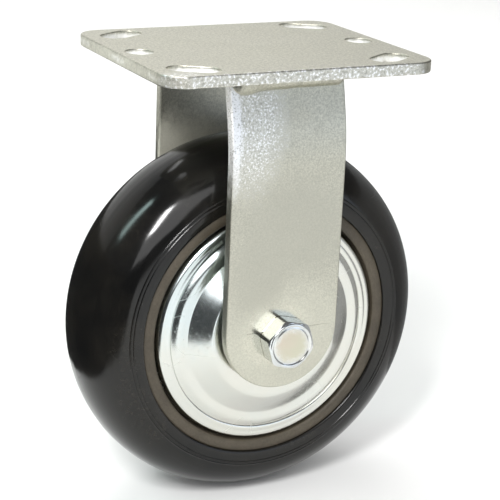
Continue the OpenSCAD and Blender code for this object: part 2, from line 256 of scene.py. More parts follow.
def turned(rings, steps, side, closed=True):
    """Points and faces of rings about the axle.

    A ring is its radius and its distance outwards, each a number or one number for each step.
    The side is NEAR or FAR. Closed rings join the last to the first, and others end in flat faces.
    """
    theta = TURN * np.arange(steps) / steps
    points = []
    for radius, out in rings:
        radius, out = np.broadcast_to(radius, steps), np.broadcast_to(out, steps)
        points.append(np.column_stack([radius * np.cos(theta), side * out, AXLE_Z + radius * np.sin(theta)]))
    count = len(rings)
    faces = []
    for i in range(count if closed else count - 1):
        a, b = i * steps, (i + 1) % count * steps
        for k in range(steps):
            n = (k + 1) % steps
            faces.append((a + k, a + n, b + n, b + k))
    if not closed:
        faces.append(tuple(range(steps)))
        faces.append(tuple(reversed(range((count - 1) * steps, count * steps))))
    return np.vstack(points), faces


def joined(parts):
    """Several pairs of points and faces as one."""
    points, faces, base = [], [], 0
    for p, f in parts:
        points.append(p)
        faces.extend(tuple(i + base for i in face) for face in f)
        base += len(p)
    return np.vstack(points), faces


def edge_section(radius, thickness):
    """The rounded edge of a sheet from one face to the other.

    Each place is its inset, its depth, and the shares of the outline's and of the face's direction
    in its normal.
    """
    section = []
    for i in range(EDGE_STEPS + 1):
        phi = math.pi / 2 * (1 - i / EDGE_STEPS)
        c, s = math.cos(phi), math.sin(phi)
        section.append((radius * (1 - c), radius * (1 - s), c, s))
    return section + [(inset, thickness - depth, c, -s) for inset, depth, c, s in reversed(section)]


class SheetMesh:
    """A sheet with rounded edges, built loop by loop, whose normals are set from its true shape."""

    def __init__(self, place):
        self.work = bmesh.new()
        self.place = place
        self.normals = []

    def wall(self, outline, outward, section, closed=True):
        """Adds the wall along an outline and gives back its first and last line of vertices."""
        columns = []
        for p, n in zip(outline, outward):
            column = []
            for inset, depth, across, along in section:
                position, normal = self.place(p - n * inset, depth, n * across, along)
                column.append(self.work.verts.new(position))
                self.normals.append(normal)
            columns.append(column)
        for a, b in zip(columns, columns[1:] + columns[:1] if closed else columns[1:]):
            for j in range(len(section) - 1):
                self.work.faces.new((a[j], a[j + 1], b[j + 1], b[j]))
        return [c[0] for c in columns], [c[-1] for c in columns]

    def fill(self, *loops):
        """Fills the face between closed loops of vertices."""
        edges = []
        for loop in loops:
            for a, b in zip(loop, loop[1:] + loop[:1]):
                edges.append(self.work.edges.get((a, b)) or self.work.edges.new((a, b)))
        bmesh.ops.triangle_fill(self.work, use_beauty=True, use_dissolve=False, edges=edges)

    def finish(self, name):
        """The finished mesh."""
        bmesh.ops.recalc_face_normals(self.work, faces=self.work.faces)
        mesh = bpy.data.meshes.new(name)
        self.work.verts.index_update()
        self.work.to_mesh(mesh)
        self.work.free()
        mesh.polygons.foreach_set("use_smooth", [True] * len(mesh.polygons))
        mesh.normals_split_custom_set_from_vertices([n.normalized() for n in self.normals])
        return mesh


def heading(t):
    """The direction at an angle in a sheet's plane."""
    return np.array([math.cos(t), math.sin(t)])


def circle_outline(centre, radius):
    """Points of a round hole and the directions out of the sheet there."""
    theta = TURN * np.arange(HOLE_STEPS) / HOLE_STEPS
    way = np.column_stack([np.cos(theta), np.sin(theta)])
    return np.asarray(centre) + radius * way, -way


def capsule_outline(a, b, radius):
    """Points of a slot between two centres and the directions out of the sheet there."""
    run = (b - a) / np.linalg.norm(b - a)
    start = math.atan2(run[1], run[0]) - math.pi / 2
    points, ways = [], []
    for centre, first in ((b, start), (a, start + math.pi)):
        for i in range(SLOT_STEPS + 1):
            way = heading(first + math.pi * i / SLOT_STEPS)
            points.append(centre + radius * way)
            ways.append(-way)
    return np.array(points), np.array(ways)


def hex_radius(across_flats, turn, softness):
    """Radius of a hexagon for each step round. Its corners are rounder for a lower softness."""
    theta = TURN * np.arange(HEX_STEPS) / HEX_STEPS
    total = np.zeros(HEX_STEPS)
    for i in range(6):
        total += np.maximum(np.cos(theta - turn - TURN * i / 6), 0) ** softness
    return across_flats / 2 / total ** (1 / softness)


# Node helpers


class Tree:
    """Short calls to add and link nodes. A value is a socket or a constant."""

    def __init__(self, tree):
        self.tree = tree

    def put(self, socket, value):
        if isinstance(value, bpy.types.NodeSocket):
            self.tree.links.new(value, socket)
        else:
            socket.default_value = value

    def add(self, kind, inputs=(), **settings):
        node = self.tree.nodes.new(kind)
        for name, value in settings.items():
            setattr(node, name, value)
        for name, value in dict(inputs).items():
            self.put(node.inputs[name], value)
        return node

    def place(self):
        return self.add("ShaderNodeTexCoord").outputs["Object"]

    def math(self, operation, a, b):
        return self.add("ShaderNodeMath", {0: a, 1: b}, operation=operation).outputs[0]

    def plus(self, a, b):
        return self.math("ADD", a, b)

    def less(self, a, b):
        return self.math("SUBTRACT", a, b)

    def times(self, a, b):
        return self.math("MULTIPLY", a, b)

    def total(self, *shares):
        """The sum of values, each times its share."""
        total = self.times(*shares[0])
        for value, share in shares[1:]:
            total = self.plus(total, self.times(value, share))
        return total

    def faded(self, value, mask, share):
        """A value that loses a share of itself where the mask is."""
        return self.times(value, self.less(1.0, self.times(mask, share)))

    def vector(self, operation, a, b=(0, 0, 0)):
        node = self.add("ShaderNodeVectorMath", {0: a, 1: b}, operation=operation)
        return node.outputs["Value" if operation == "LENGTH" else "Vector"]

    def spread(self, value, low, high, to_low=0.0, to_high=1.0):
        """A value mapped smoothly from one range to another."""
        given = {"Value": value, "From Min": low, "From Max": high, "To Min": to_low, "To Max": to_high}
        return self.add("ShaderNodeMapRange", given, interpolation_type="SMOOTHSTEP").outputs["Result"]

    def blend(self, share, a, b):
        """A colour between two, where a constant colour has three parts."""
        a, b = (v if isinstance(v, bpy.types.NodeSocket) else (*v, 1.0) for v in (a, b))
        return self.add("ShaderNodeMix", {0: share, 6: a, 7: b}, data_type="RGBA").outputs[2]

    def noise(self, vector, scale, detail=2.0, rough=0.5):
        given = {"Vector": vector, "Scale": scale, "Detail": detail, "Roughness": rough}
        return self.add("ShaderNodeTexNoise", given).outputs["Fac"]


def effect(name, inputs, outputs):
    """A new node group with float sockets: its tree, what it is given and what it gives."""
    group = bpy.data.node_groups.new(name, "ShaderNodeTree")
    for socket, default in inputs.items():
        made = group.interface.new_socket(socket, in_out="INPUT", socket_type="NodeSocketFloat")
        made.default_value = default
    for socket in outputs:
        group.interface.new_socket(socket, in_out="OUTPUT", socket_type="NodeSocketFloat")
    tree = Tree(group)
    return tree, tree.add("NodeGroupInput").outputs, tree.add("NodeGroupOutput").inputs


def grain_effect():
    """Fine crystals of a rough plated or sanded surface: their tone, a mask for painted glints, dark pits and
    relief.
    """
    t, given, out = effect("plating_grain", {"Grains per metre": 1700}, ("Tone", "Glint", "Pit", "Height"))
    where, size = t.place(), given["Grains per metre"]
    coarse = t.noise(where, size, 2.0, 0.6)
    fine = t.noise(where, t.times(size, 2.3), 1.0, 0.5)
    cloud = t.noise(where, t.times(size, 0.12), 3.0, 0.6)
    t.put(out["Tone"], t.spread(t.total((coarse, 0.5), (fine, 0.42), (cloud, 0.08)), 0.36, 0.64))
    t.put(out["Glint"], t.spread(coarse, 0.52, 0.64))
    t.put(out["Pit"], t.spread(coarse, 0.34, 0.46, 1.0, 0.0))
    t.put(out["Height"], t.total((coarse, 0.7), (fine, 0.3)))


# Where a patch's middle is, and its half sizes, in metres
PATCH_MIDDLE = ("X", "Y", "Z")
PATCH_SIZE = ("Width", "Depth", "Height")


def patch_effect():
    """A soft ragged patch as a mask, full near its middle and gone at its half sizes."""
    sockets = {**dict.fromkeys(PATCH_MIDDLE, 0.0), **dict.fromkeys(PATCH_SIZE, 0.01), "Ragged": 0.5}
    t, given, out = effect("patch", sockets, ("Mask",))
    where = t.place()
    middle, size = (
        t.add("ShaderNodeCombineXYZ", {i: given[name] for i, name in enumerate(names)}).outputs[0]
        for names in (PATCH_MIDDLE, PATCH_SIZE)
    )
    away = t.vector("LENGTH", t.vector("DIVIDE", t.vector("SUBTRACT", where, middle), size))
    wobble = t.times(t.less(t.noise(where, 420.0, 3.0, 0.6), 0.5), given["Ragged"])
    t.put(out["Mask"], t.spread(t.plus(away, wobble), 0.45, 1.0, 1.0, 0.0))


def smudge_effect():
    """Broad soft stains and a fine cloud of dust in them."""
    t, given, out = effect("smudges", {"Patches per metre": 38, "Softness": 0.16}, ("Stain", "Dust"))
    where, size, soft = t.place(), given["Patches per metre"], given["Softness"]
    threshold = 0.52
    stain = t.spread(t.noise(where, size, 5.0, 0.62), t.less(threshold, soft), t.plus(threshold, soft))
    dust = t.spread(t.noise(where, t.times(size, 24.0), 3.0, 0.7), 0.48, 0.75)
    t.put(out["Stain"], stain)
    t.put(out["Dust"], t.times(dust, stain))


def scratch_effect():
    """A few thin scratches of random direction, as a mask."""
    t, given, out = effect("scratches", {"Scratches per metre": 26, "Width": 0.012}, ("Scratch",))
    where = t.place()
    bent = t.add("ShaderNodeTexNoise", {"Vector": where, "Scale": 18.0, "Detail": 1.0}).outputs["Color"]
    moved = t.vector("ADD", where, t.vector("MULTIPLY", bent, (0.05, 0.05, 0.05)))
    spacing = {"Vector": moved, "Scale": given["Scratches per metre"]}
    cells = t.add("ShaderNodeTexVoronoi", spacing, feature="DISTANCE_TO_EDGE")
    line = t.spread(cells.outputs["Distance"], 0.0, given["Width"], 1.0, 0.0)
    t.put(out["Scratch"], t.times(line, t.spread(t.noise(where, 55.0, 1.0), 0.56, 0.62)))


def turning_effect():
    """Fine rings about the axle, as turning and pressing leave them."""
    t, given, out = effect("turning_rings", {"Rings per metre": 900}, ("Ring",))
    centred = t.vector("ADD", t.place(), (0, 0, -AXLE_Z))
    radius = t.vector("LENGTH", t.vector("MULTIPLY", centred, (1, 0, 1)))
    rings = {"W": radius, "Scale": given["Rings per metre"], "Detail": 3.0, "Roughness": 0.6}
    t.put(out["Ring"], t.add("ShaderNodeTexNoise", rings, noise_dimensions="1D").outputs["Fac"])


class Paint:
    """One material being made. Sockets are named with _ in place of each space."""

    def __init__(self, name, **values):
        self.material = bpy.data.materials.new(name + "_finish")
        self.material.use_nodes = True
        self.tree = Tree(self.material.node_tree)
        self.shader = self.material.node_tree.nodes["Principled BSDF"]
        self.set(**values)

    def set(self, **values):
        """Gives the Principled shader its links and constants."""
        for socket, value in values.items():
            self.tree.put(self.shader.inputs[socket.replace("_", " ")], value)

    def use(self, group, **values):
        """Adds one of the effects and gives back what it gives."""
        node = self.tree.add("ShaderNodeGroup", node_tree=bpy.data.node_groups[group])
        for socket, value in values.items():
            self.tree.put(node.inputs[socket.replace("_", " ")], value)
        return node.outputs

    def relief(self, height, strength, distance):
        bump = self.tree.add("ShaderNodeBump", {"Height": height, "Strength": strength, "Distance": distance})
        self.set(Normal=bump.outputs["Normal"])


def dimmed(rgb, share):
    return tuple(c * share for c in rgb)


def patches(paint, places):
    """The mask of several patches, each given by its middle and its half sizes along x, y and z."""
    total = None
    for place in places:
        mask = paint.use("patch", **dict(zip(PATCH_MIDDLE + PATCH_SIZE, place)))["Mask"]
        total = mask if total is None else paint.tree.math("MAXIMUM", total, mask)
    return total


def satin_zinc(name, light, shade, rough, grains, relief, **marks):
    """Grainy satin plating.

    Its marks are patches of painted glints (whiter, with white crystals and dark specks), painted highlight
    (white), a darker tone, bare (paler and less metallic), polished (mirror-like) or smooth (fainter grains).
    """
    paint = Paint(name, Metallic=1.0)
    t = paint.tree
    mark = {kind: patches(paint, places) for kind, places in marks.items()}
    grain = paint.use("plating_grain", Grains_per_metre=grains)
    stain = paint.use("smudges", Patches_per_metre=34.0)["Stain"]
    scratch = paint.use("scratches")["Scratch"]
    dark = dimmed(light, 0.56)
    grain_share = 0.85
    if "smooth" in mark:
        grain_share = t.less(grain_share, t.times(mark["smooth"], 0.45))
        light = dimmed(light, 0.94)
    tone = t.blend(t.times(grain["Tone"], grain_share), light, dark)
    tone = t.blend(t.times(stain, 0.10), tone, shade)
    height = t.less(grain["Height"], t.times(scratch, 0.2))
    level = t.plus(t.times(stain, 0.05), rough)
    # Darker patches blend towards the shade colour, painted glints a little and painted highlights strongly
    # towards white, and bare patches back to the plain colour
    shown = {"stain": (0.72, shade), "painted_glints": (0.20, WHITE), "bare": (0.7, light), "painted_highlight": (0.8, WHITE)}
    for kind, (share, shown_colour) in shown.items():
        if kind in mark:
            tone = t.blend(t.times(mark[kind], share), tone, shown_colour)
    # Painted glints: white crystals and dark specks inside the glint patches, with a stronger relief there
    if "painted_glints" in mark:
        painted_glint = t.times(mark["painted_glints"], grain["Glint"])
        pit = t.times(mark["painted_glints"], grain["Pit"])
        tone = t.blend(t.times(painted_glint, 0.9), tone, WHITE)
        tone = t.blend(t.times(pit, 0.6), tone, dimmed(shade, 0.55))
        height = t.times(height, t.plus(t.times(mark["painted_glints"], 2.0), 1.0))
    if "bare" in mark:
        paint.set(Metallic=t.faded(1.0, mark["bare"], 0.75))
    if "polished" in mark:
        level = t.faded(level, mark["polished"], 0.62)
        height = t.faded(height, mark["polished"], 0.75)
    paint.set(Base_Color=tone, Roughness=level)
    paint.relief(height, relief, 0.00006)


def bright_plating(
    name, light, tint, rough, rings, tint_share=0.5, relief=0.05, cool=(), satin=(), satin_tones=()
):
    """Smooth mirror-like plating with a tint, faint rings and specks, and cooler and satin patches."""
    paint = Paint(name, Metallic=1.0)
    t = paint.tree
    smudge = paint.use("smudges", Patches_per_metre=30.0)
    scratch = paint.use("scratches", Scratches_per_metre=45.0)["Scratch"]
    ring = paint.use("turning_rings", Rings_per_metre=420.0)["Ring"]
    tone = t.blend(t.times(smudge["Stain"], tint_share), light, tint)
    level = t.plus(t.total((smudge["Dust"], 0.12), (scratch, 0.12)), rough)
    if cool:
        tone = t.blend(t.times(patches(paint, cool), 0.8), tone, tint)
    if satin:
        dull = patches(paint, satin)
        tone = t.blend(t.times(dull, 0.9), tone, t.blend(smudge["Stain"], *satin_tones))
        level = t.plus(level, t.times(dull, 0.22))
    paint.set(Base_Color=tone, Roughness=level)
    paint.relief(t.total((ring, rings), (smudge["Dust"], 0.3)), relief, 0.0002)


def ground_steel(name, light, rough):
    """Turned and ground steel or brass."""
    paint = Paint(name, Metallic=1.0)
    t = paint.tree
    ring = paint.use("turning_rings", Rings_per_metre=1500.0)["Ring"]
    stain = paint.use("smudges", Patches_per_metre=60.0)["Stain"]
    paint.set(
        Base_Color=t.blend(t.times(stain, 0.5), light, dimmed(light, 0.72)),
        Roughness=t.spread(ring, 0.3, 0.7, rough, rough + 0.12),
    )
    paint.relief(ring, 0.12, 0.0001)


def moulded_resin(name, light, shade, rough, grains, relief):
    """Matt moulded resin with mottling and a fine sandy face."""
    paint = Paint(name)
    t = paint.tree
    stain = paint.use("smudges", Patches_per_metre=70.0)["Stain"]
    grain = paint.use("plating_grain", Grains_per_metre=grains)
    tone = t.blend(stain, light, shade)
    paint.set(
        Base_Color=t.blend(t.times(grain["Tone"], 0.4), tone, dimmed(shade, 0.6)),
        Roughness=t.spread(grain["Tone"], 0.0, 1.0, rough, rough + 0.15),
    )
    paint.relief(grain["Height"], relief, 0.0002)


def glossy_tyre(name, black, dust, rough):
    """Polished black tyre with faint swirls, a film of dust and a slight waviness from the mould."""
    paint = Paint(name, Specular_IOR_Level=0.36)
    t = paint.tree
    smudge = paint.use("smudges", Patches_per_metre=26.0, Softness=0.2)
    ring = paint.use("turning_rings", Rings_per_metre=160.0)["Ring"]
    scratch = paint.use("scratches", Scratches_per_metre=60.0)["Scratch"]
    film = t.total((smudge["Stain"], 0.35), (smudge["Dust"], 0.5))
    paint.set(
        Base_Color=t.blend(film, black, dust),
        Roughness=t.plus(t.total((smudge["Stain"], 0.10), (scratch, 0.10)), rough),
    )
    paint.relief(t.total((ring, 0.6), (smudge["Dust"], 0.08)), 0.12, 0.0003)


def plate_marks(sizes):
    """Patches of the plate's finish: painted glints on the near corner and edge, a bare left side, and bare
    slots with a painted white reflection.
    """
    near, left, middle = PLATE_LOW.y, PLATE_LOW.x, -0.0024
    corner = (left + 0.007, near + 0.003, -0.003, 0.014, 0.008, 0.006)
    edge = (0.0, near, -0.0032, 0.09, 0.0012, 0.009)
    left_side = (left - 0.00068, 0.0, middle, 0.0010, 0.09, 0.009)
    x, y = (sizes.slot_outer_x + sizes.slot_inner) / 4, (sizes.slot_outer_y + sizes.slot_inner) / 4
    # The slots' walls are bare and painted white: a painted reflection of the pale floor
    slots = [(sx * x, sy * y, middle, 0.020, 0.0132, 0.0025) for sx in (-1, 1) for sy in (-1, 1)]
    slots += [(sx * sizes.middle_holes / 2, 0.0, middle, 0.0125, 0.0132, 0.0025) for sx in (-1, 1)]
    return {"painted_glints": [corner, edge], "bare": [left_side, *slots], "painted_highlight": slots}


def leg_marks():
    """Patches of the legs' finish, most of them on the near leg's outer face."""
    face = -(LEG_FACE - 0.003)
    return {
        # Painted glints and a whiter tone on the near leg's upper left, where a light glints on it
        "painted_glints": [(-0.0185, face, -0.024, 0.020, 0.012, 0.034)],
        # A painted highlight along the near leg's upper left edge
        "painted_highlight": [(-0.0240, face, -0.024, 0.0040, 0.012, 0.032)],
        # Darker patches on the near leg's face, in its middle and lower left
        "stain": [
            (0.004, face, -0.066, 0.036, 0.012, 0.030),
            (-0.012, face, -0.082, 0.018, 0.012, 0.030),
        ],
        # The cut left sides and the far leg's inner face
        "bare": [
            (-0.0266, 0.0, -0.016, 0.0023, 0.09, 0.060),
            (-0.018, LEG_FACE - 0.0048, -0.056, 0.040, 0.003, 0.030),
        ],
        # Round the bolt
        "polished": [(-0.004, -LEG_FACE, AXLE_Z + 0.003, 0.018, 0.003, 0.018)],
        # The near leg's lower end
        "smooth": [(0.0, -LEG_FACE, AXLE_Z - 0.006, 0.050, 0.003, 0.040)],
    }


def make_materials():
    """Every finish of the castor, by the name of its slot."""
    for make in (grain_effect, patch_effect, smudge_effect, scratch_effect, turning_effect):
        make()
    colours = bpy.context.scene.castor_finishes
    zinc, shade = colours.zinc, colours.zinc_shade
    bright, tint, steel = colours.bright_zinc, colours.zinc_tint, colours.steel
    plate = plate_marks(bpy.context.scene.castor_sheet)
    satin_zinc("plate_zinc", dimmed(zinc, 0.9), shade, rough=0.42, grains=850.0, relief=0.6, **plate)
    satin_zinc("leg_zinc", zinc, shade, rough=0.40, grains=1300.0, relief=0.7, **leg_marks())
    satin_zinc("weld_zinc", dimmed(zinc, 0.86), shade, rough=0.36, grains=900.0, relief=0.3)
    bright_plating(
        "bolt_zinc",
        dimmed(bright, 0.84),
        tint,
        rough=0.13,
        rings=0.0,
        tint_share=0.35,
        satin=[(0.0, BOLT_LOW.y, AXLE_Z, 0.0095, 0.0012, 0.0095)],
        satin_tones=(colours.head_end, colours.head_stain),
    )
    bright_plating(
        "disc_zinc",
        (bright[0] * 0.82, bright[1] * 0.80, bright[2] * 0.74),
        tint,
        rough=0.18,
        rings=0.35,
        tint_share=0.2,
        relief=0.08,
        cool=[(-0.034, -0.026, AXLE_Z + 0.026, 0.036, 0.03, 0.036)],
    )
    bright_plating("hub_zinc", dimmed(bright, 0.8), tint, rough=0.22, rings=0.6)
    ground_steel("bushing_steel", dimmed(steel, 0.7), rough=0.35)
    ground_steel("bearing_steel", steel, rough=0.18)
    ground_steel("shield_steel", dimmed(steel, 0.85), rough=0.28)
    ground_steel("cage_brass", colours.brass, rough=0.25)
    moulded_resin("nylon", colours.nylon, dimmed(colours.nylon, 0.85), rough=0.35, grains=2600.0, relief=0.10)
    moulded_resin("core_resin", colours.core, colours.core_shade, rough=0.50, grains=1500.0, relief=0.25)
    glossy_tyre("tyre_rubber", colours.tyre, colours.tyre_dust, rough=0.115)


# Pieces


def slanted_slot(sx, sy, sizes):
    """Outline of the slot in the corner of the plate with the signs sx and sy."""
    outer = np.array([sx * sizes.slot_outer_x / 2, sy * sizes.slot_outer_y / 2])
    inner = np.array([sx * sizes.slot_inner / 2, sy * sizes.slot_inner / 2])
    return capsule_outline(inner, outer, sizes.slot_width / 2)


def plate_outline(sizes):
    """Outline of the plate with its round corners."""
    half = np.array([PLATE_HIGH.x, PLATE_HIGH.y]) - sizes.plate_corner
    points, ways = [], []
    for quarter, signs in enumerate(((1, 1), (-1, 1), (-1, -1), (1, -1))):
        for i in range(CORNER_STEPS + 1):
            way = heading(math.pi / 2 * (quarter + i / CORNER_STEPS))
            points.append(half * signs + sizes.plate_corner * way)
            ways.append(way)
    return np.array(points), np.array(ways)


class CASTOR_OT_top_plate(bpy.types.Operator):
    """Build the top plate with its slots, holes and rounded edges"""

    bl_idname = "castor.top_plate"
    bl_label = "Top plate"

    def execute(self, context):
        sizes = context.scene.castor_sheet
        thickness = PLATE_HIGH.z - PLATE_LOW.z

        def place(p, depth, way, up):
            return Vector((p[0], p[1], PLATE_HIGH.z - depth)), Vector((way[0], way[1], up))

        sheet = SheetMesh(place)
        rim = edge_section(sizes.edge_round, thickness)
        hole_rim = edge_section(sizes.edge_round * 0.7, thickness)
        walls = [sheet.wall(*plate_outline(sizes), rim)]
        for sx in (-1, 1):
            for sy in (-1, 1):
                walls.append(sheet.wall(*slanted_slot(sx, sy, sizes), hole_rim))
            hole = circle_outline((sx * sizes.middle_holes / 2, 0), sizes.slot_width / 2)
            walls.append(sheet.wall(*hole, hole_rim))
        for loops in zip(*walls):
            sheet.fill(*loops)
        finished_piece(sheet.finish("slotted_plate"), "rig", "top_plate", "plate_zinc")
        return {"FINISHED"}


def leg_face_at(height, depth, lean, sizes):
    """Distance from the wheel's middle and tilt of a leg's face at a height over the axle."""
    bend = LEG_TOP - sizes.lean_height
    radius = sizes.lean_radius - depth
    face = LEG_FACE - depth
    end = bend + radius * math.sin(lean)
    if height <= bend or lean == 0:
        return face, 0.0
    if height <= end:
        rise = height - bend
        return face - (radius - math.sqrt(radius**2 - rise**2)), math.asin(rise / radius)
    return face - radius * (1 - math.cos(lean)) - (height - end) * math.tan(lean), lean


def leg_mesh(name, side, lean, sizes):
    """A leg with a round lower end and a bolt hole, bent towards the wheel at its top by the angle lean."""
    centre, half = -sizes.leg_left / 2, LEG_HIGH.x + sizes.leg_left / 2
    bend = LEG_TOP - sizes.lean_height
    bend_end = bend + sizes.lean_radius * math.sin(sizes.lean)
    straight = np.linspace(LEG_TOP, bend_end, 4)
    curved = np.linspace(bend_end, bend, 14)[1:]
    upright = np.linspace(bend, sizes.leg_end_rise, 9)[1:]
    heights = np.concatenate([straight, curved, upright])
    points = [np.array([centre - half, h]) for h in heights]
    ways = [np.array([-1.0, 0.0]) for _ in heights]
    for i in range(1, END_STEPS):
        way = heading(math.pi * (1 + i / END_STEPS))
        points.append(np.array([centre, sizes.leg_end_rise]) + half * way)
        ways.append(way)
    points += [np.array([centre + half, h]) for h in heights[::-1]]
    ways += [np.array([1.0, 0.0]) for _ in heights]

    def place(p, depth, way, out):
        y, tilt = leg_face_at(p[1], depth, lean, sizes)
        normal = Vector((way[0], side * math.cos(tilt) * out, way[1] + math.sin(tilt) * out))
        return Vector((p[0], side * y, AXLE_Z + p[1])), normal

    sheet = SheetMesh(place)
    section = edge_section(sizes.edge_round, sizes.leg_thickness)
    outer, inner = sheet.wall(points, ways, section, closed=False)
    hole_outer, hole_inner = sheet.wall(*circle_outline((0, 0), sizes.leg_hole), section)
    rows = len(heights) - 1
    for line, hole in ((outer, hole_outer), (inner, hole_inner)):
        for k in range(rows):
            sheet.work.faces.new((line[k], line[k + 1], line[-2 - k], line[-1 - k]))
        sheet.fill(line[rows : len(line) - rows], hole)
    vertices = list(sheet.work.verts)
    count = len(section)
    left, right = vertices[:count], vertices[(len(points) - 1) * count : len(points) * count]
    sheet.work.faces.new(left + right[::-1])
    return sheet.finish(name)


class CASTOR_OT_legs(bpy.types.Operator):
    """Build the two legs, the near one bent at its top"""

    bl_idname = "castor.legs"
    bl_label = "Legs"

    def execute(self, context):
        sizes = context.scene.castor_sheet
        finished_piece(leg_mesh("near_leg_sheet", NEAR, sizes.lean, sizes), "rig", "near_leg", "leg_zinc")
        finished_piece(leg_mesh("far_leg_sheet", FAR, 0.0, sizes), "rig", "far_leg", "leg_zinc")
        return {"FINISHED"}


def bead_radius(x, half, outside, sizes):
    """Size of a bead at a place along it: round ends, and a drop near the start of an outer bead."""
    size, drop, taper = sizes.inner_weld, 0.0, 0.0
    start_round, end_round = size, size
    if outside:
        size = sizes.outer_weld
        start_round, end_round = 0.0046, 0.0036
        drop_at, drop_width = 0.0062, 0.0048
        drop = sizes.weld_drop * math.exp(-(((x + half - drop_at) / drop_width) ** 2))
        taper = sizes.weld_taper * (x + half) / (2 * half)
    from_end = min(1.0, (x + half) / start_round, (half - x) / end_round)
    rounding = math.sqrt(max(0.0, 1 - (1 - from_end) ** 2))
    return (size + drop - taper) * rounding


def bead_mesh(name, side, outside, lean, sizes, seed):
    """A rippled weld bead in the corner of plate and leg."""
    corner, _ = leg_face_at(LEG_TOP, 0.0 if outside else sizes.leg_thickness, lean, sizes)
    half = LEG_HIGH.x + sizes.leg_left / 2 - sizes.weld_inset
    way = side if outside else -side
    stations, arcs = 168, 22
    start, end = math.radians(-24), math.radians(96)
    ripple_bow, ripple_jitter, ripple_share, wander_share, swell = 0.0011, 0.0004, 0.008, 0.04, 0.00005
    points = []
    for i in range(stations + 1):
        x = -half * math.cos(math.pi * i / stations)
        jitter = ripple_jitter * noise.noise(Vector((x * 300, seed, 0)))
        for j in range(arcs + 1):
            phi = start + (end - start) * j / arcs
            bow = ripple_bow * math.sin(2 * max(phi, 0.0))
            ripple = math.cos(TURN * (x - bow + jitter) / sizes.weld_ripple)
            wander = noise.noise(Vector((x * 130, phi, seed + 7.0)))
            uneven = 1 + ripple_share * ripple + wander_share * wander
            radius = bead_radius(x, half, outside, sizes) * uneven + swell
            y = corner * side + way * radius * math.sin(phi)
            points.append((x - sizes.leg_left / 2, y, PLATE_UNDERSIDE - radius * math.cos(phi)))
    faces = []
    row = arcs + 1
    for i in range(stations):
        for j in range(arcs):
            a = i * row + j
            faces.append((a, a + 1, a + row + 1, a + row))
    faces.append(tuple(range(row)))
    faces.append(tuple(reversed(range(stations * row, (stations + 1) * row))))
    for a in range(0, stations * row, row):
        faces.append((a, a + row, a + row + arcs, a + arcs))
    return mesh_from(name, points, faces, 60)


class CASTOR_OT_welds(bpy.types.Operator):
    """Build the four rippled weld beads that join the legs to the plate"""

    bl_idname = "castor.welds"
    bl_label = "Welds"

    def execute(self, context):
        sizes = context.scene.castor_sheet
        beads = (
            ("near_outer_bead", NEAR, True, sizes.lean, "near_outer_weld"),
            ("near_inner_bead", NEAR, False, sizes.lean, "near_inner_weld"),
            ("far_outer_bead", FAR, True, 0.0, "far_outer_weld"),
            ("far_inner_bead", FAR, False, 0.0, "far_inner_weld"),
        )
        for seed, (name, side, outside, lean, node) in enumerate(beads):
            mesh = bead_mesh(name, side, outside, lean, sizes, float(seed))
            finished_piece(mesh, "rig", node, "weld_zinc")
        return {"FINISHED"}


def hex_rings(low, high, sizes, turn, flat, softness=70):
    """Rings of a hexagon whose top corners are cut at 30 degrees, from its seat to its flat end."""
    side = hex_radius(sizes.across_flats, turn, softness)
    shoulder = high - (side - flat) * math.tan(math.radians(30))
    seat_cut = 0.0004
    start = low + seat_cut
    rings = [(side - seat_cut, low), (side, start)]
    rings += [(side, start + (shoulder - start) * k / 4) for k in range(1, 5)]
    rings += [(flat + (side - flat) * (1 - k / 3), shoulder + (high - shoulder) * k / 3) for k in range(1, 3)]
    return rings + [(flat, high - 0.00006)]


# The forged end of the bolt's head from its rim inwards: inset and depth
HEAD_END = (
    (0.00015, 0.00018), (0.00035, 0.00006), (0.0006, 0), (0.00085, 0.00006), (0.0011, 0.00024),
    (0.0014, 0.00036), (0.0017, 0.00030), (0.0020, 0.00014), (0.0024, 0.00008), (0.0050, 0.00006),
)


class CASTOR_OT_bolt(bpy.types.Operator):
    """Build the axle bolt with its hexagon head and threaded end"""

    bl_idname = "castor.bolt"
    bl_label = "Axle bolt"

    def execute(self, context):
        sizes = context.scene.castor_fastener
        # From the side round to straight up, and from a corner to the flat that the hexagon is turned by
        turn = math.radians(90) + sizes.head_turn + math.radians(30)
        top, tip = -BOLT_LOW.y, BOLT_HIGH.y
        rim, rim_drop = sizes.across_flats * sizes.head_rim, 0.0003
        head = hex_rings(LEG_FACE, top - rim_drop, sizes, turn, rim, softness=13)
        head += [(rim - inset, top - depth) for inset, depth in HEAD_END]
        theta = TURN * np.arange(HEX_STEPS) / HEX_STEPS
        thread_from, rings_a_turn, end_cut = LEG_FACE - 0.004, 10, 0.001
        shank = [(sizes.bolt_radius, LEG_FACE + 0.001), (sizes.bolt_radius, -thread_from)]
        for out in np.arange(thread_from, tip - 0.0001, sizes.thread_pitch / rings_a_turn):
            # A groove with slanted walls and a flat root, which runs in over the first turn
            phase = (out / sizes.thread_pitch - theta / TURN) % 1
            groove = np.clip(1.25 * (1 - np.abs(2 * phase - 1)) - 0.15, 0, 1)
            run_in = min(1.0, (out - thread_from) / sizes.thread_pitch)
            chamfer = max(0.0, out - (tip - end_cut))
            cut = np.maximum(groove * sizes.thread_depth * run_in, chamfer)
            shank.append((sizes.bolt_radius - cut, -out))
        shank.append((sizes.bolt_radius - 0.0011, -tip))
        points, faces = joined([turned(rings, HEX_STEPS, NEAR, closed=False) for rings in (head, shank)])
        finished_piece(mesh_from("hex_bolt", points, faces, 24), "rig", "axle_bolt", "bolt_zinc")
        return {"FINISHED"}


